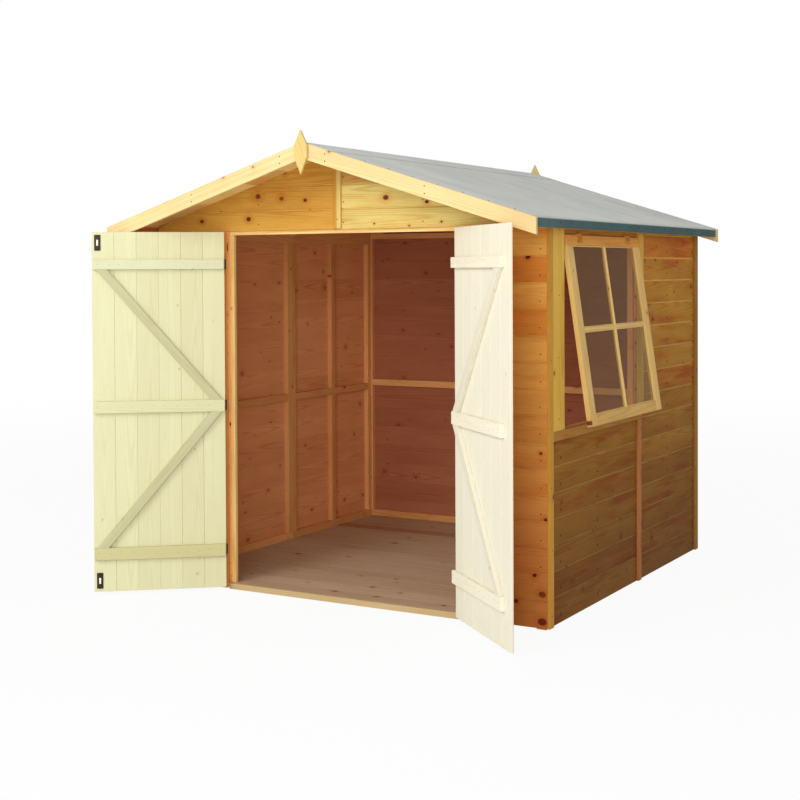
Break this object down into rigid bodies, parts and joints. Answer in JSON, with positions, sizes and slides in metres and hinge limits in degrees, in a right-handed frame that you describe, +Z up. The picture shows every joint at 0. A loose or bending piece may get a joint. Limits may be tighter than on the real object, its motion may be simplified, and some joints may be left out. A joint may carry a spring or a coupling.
{
  "type": "wooden garden shed",
  "caption": "Apex-roofed timber garden shed with shiplap walls, felt roof, double ledged and braced doors, a top-hung side window, bargeboards and finials.",
  "frame": {"origin": "on the ground under the middle bearer, at the centre of the four walls", "axes": "+Z up, -Y towards the double doors, +X to the right of someone facing the doors"},
  "size_m": [2.3191, 2.6616, 2.175],
  "materials": {
    "black_ironmongery": "black semi-gloss steel",
    "cladding_timber": "honey-brown treated softwood boards with knots",
    "floor_timber": "planed softwood boards",
    "framing_timber": "sawn softwood",
    "pale_door_timber": "pale planed softwood",
    "roofing_felt": "mineral-faced bitumen felt, matt grey",
    "trim_timber": "planed yellow softwood",
    "window_glass": "clear glazing sheet"
  },
  "bodies": {
    "shed": {"back_cladding": "cladding_timber", "back_gable_cladding": "cladding_timber", "corner_trims": "trim_timber", "door_hinge_plates": "black_ironmongery", "door_posts": "trim_timber", "door_stops": "trim_timber", "door_threshold": "floor_timber", "eaves_battens": "framing_timber", "end_wall_rails": "framing_timber", "end_wall_studs": "framing_timber", "finials": "trim_timber", "floor_bearers": "floor_timber", "floor_boards": "floor_timber", "front_cladding": "cladding_timber", "front_gable_cladding": "cladding_timber", "front_gable_strip": "trim_timber", "gable_rafters": "framing_timber", "joint_strips": "trim_timber", "left_bargeboards": "trim_timber", "left_cladding": "cladding_timber", "left_roof_deck": "framing_timber", "left_roof_felt": "roofing_felt", "left_roof_rafters": "framing_timber", "ridge_beam": "framing_timber", "right_bargeboards": "trim_timber", "right_cladding": "cladding_timber", "right_roof_deck": "framing_timber", "right_roof_felt": "roofing_felt", "right_roof_rafters": "framing_timber", "side_wall_rails": "framing_timber", "side_wall_studs": "framing_timber", "window_head_cladding": "cladding_timber", "window_hinges": "black_ironmongery", "window_jambs": "trim_timber", "window_pane": "window_glass", "window_rails": "trim_timber", "window_side_cladding": "cladding_timber", "window_sill": "trim_timber", "window_stay": "black_ironmongery", "window_stiles": "trim_timber"},
    "left_door": {"left_door_boards": "pale_door_timber", "left_door_bolts": "black_ironmongery", "left_door_braces": "pale_door_timber", "left_door_ledges": "pale_door_timber", "left_door_straps": "black_ironmongery"},
    "right_door": {"right_door_boards": "pale_door_timber", "right_door_braces": "pale_door_timber", "right_door_ledges": "pale_door_timber", "right_door_straps": "black_ironmongery"}
  },
  "joints": [
    {"name": "left_door_hinge", "type": "hinge", "parent": "shed", "child": "left_door", "pos_m": [-0.635, -1.028, 0.9], "axis": [0, 0, 1], "range_deg": [0, 141]},
    {"name": "right_door_hinge", "type": "hinge", "parent": "shed", "child": "right_door", "pos_m": [0.635, -1.028, 0.9], "axis": [0, 0, 1], "range_deg": [-138.2, 2.8]}
  ]
}
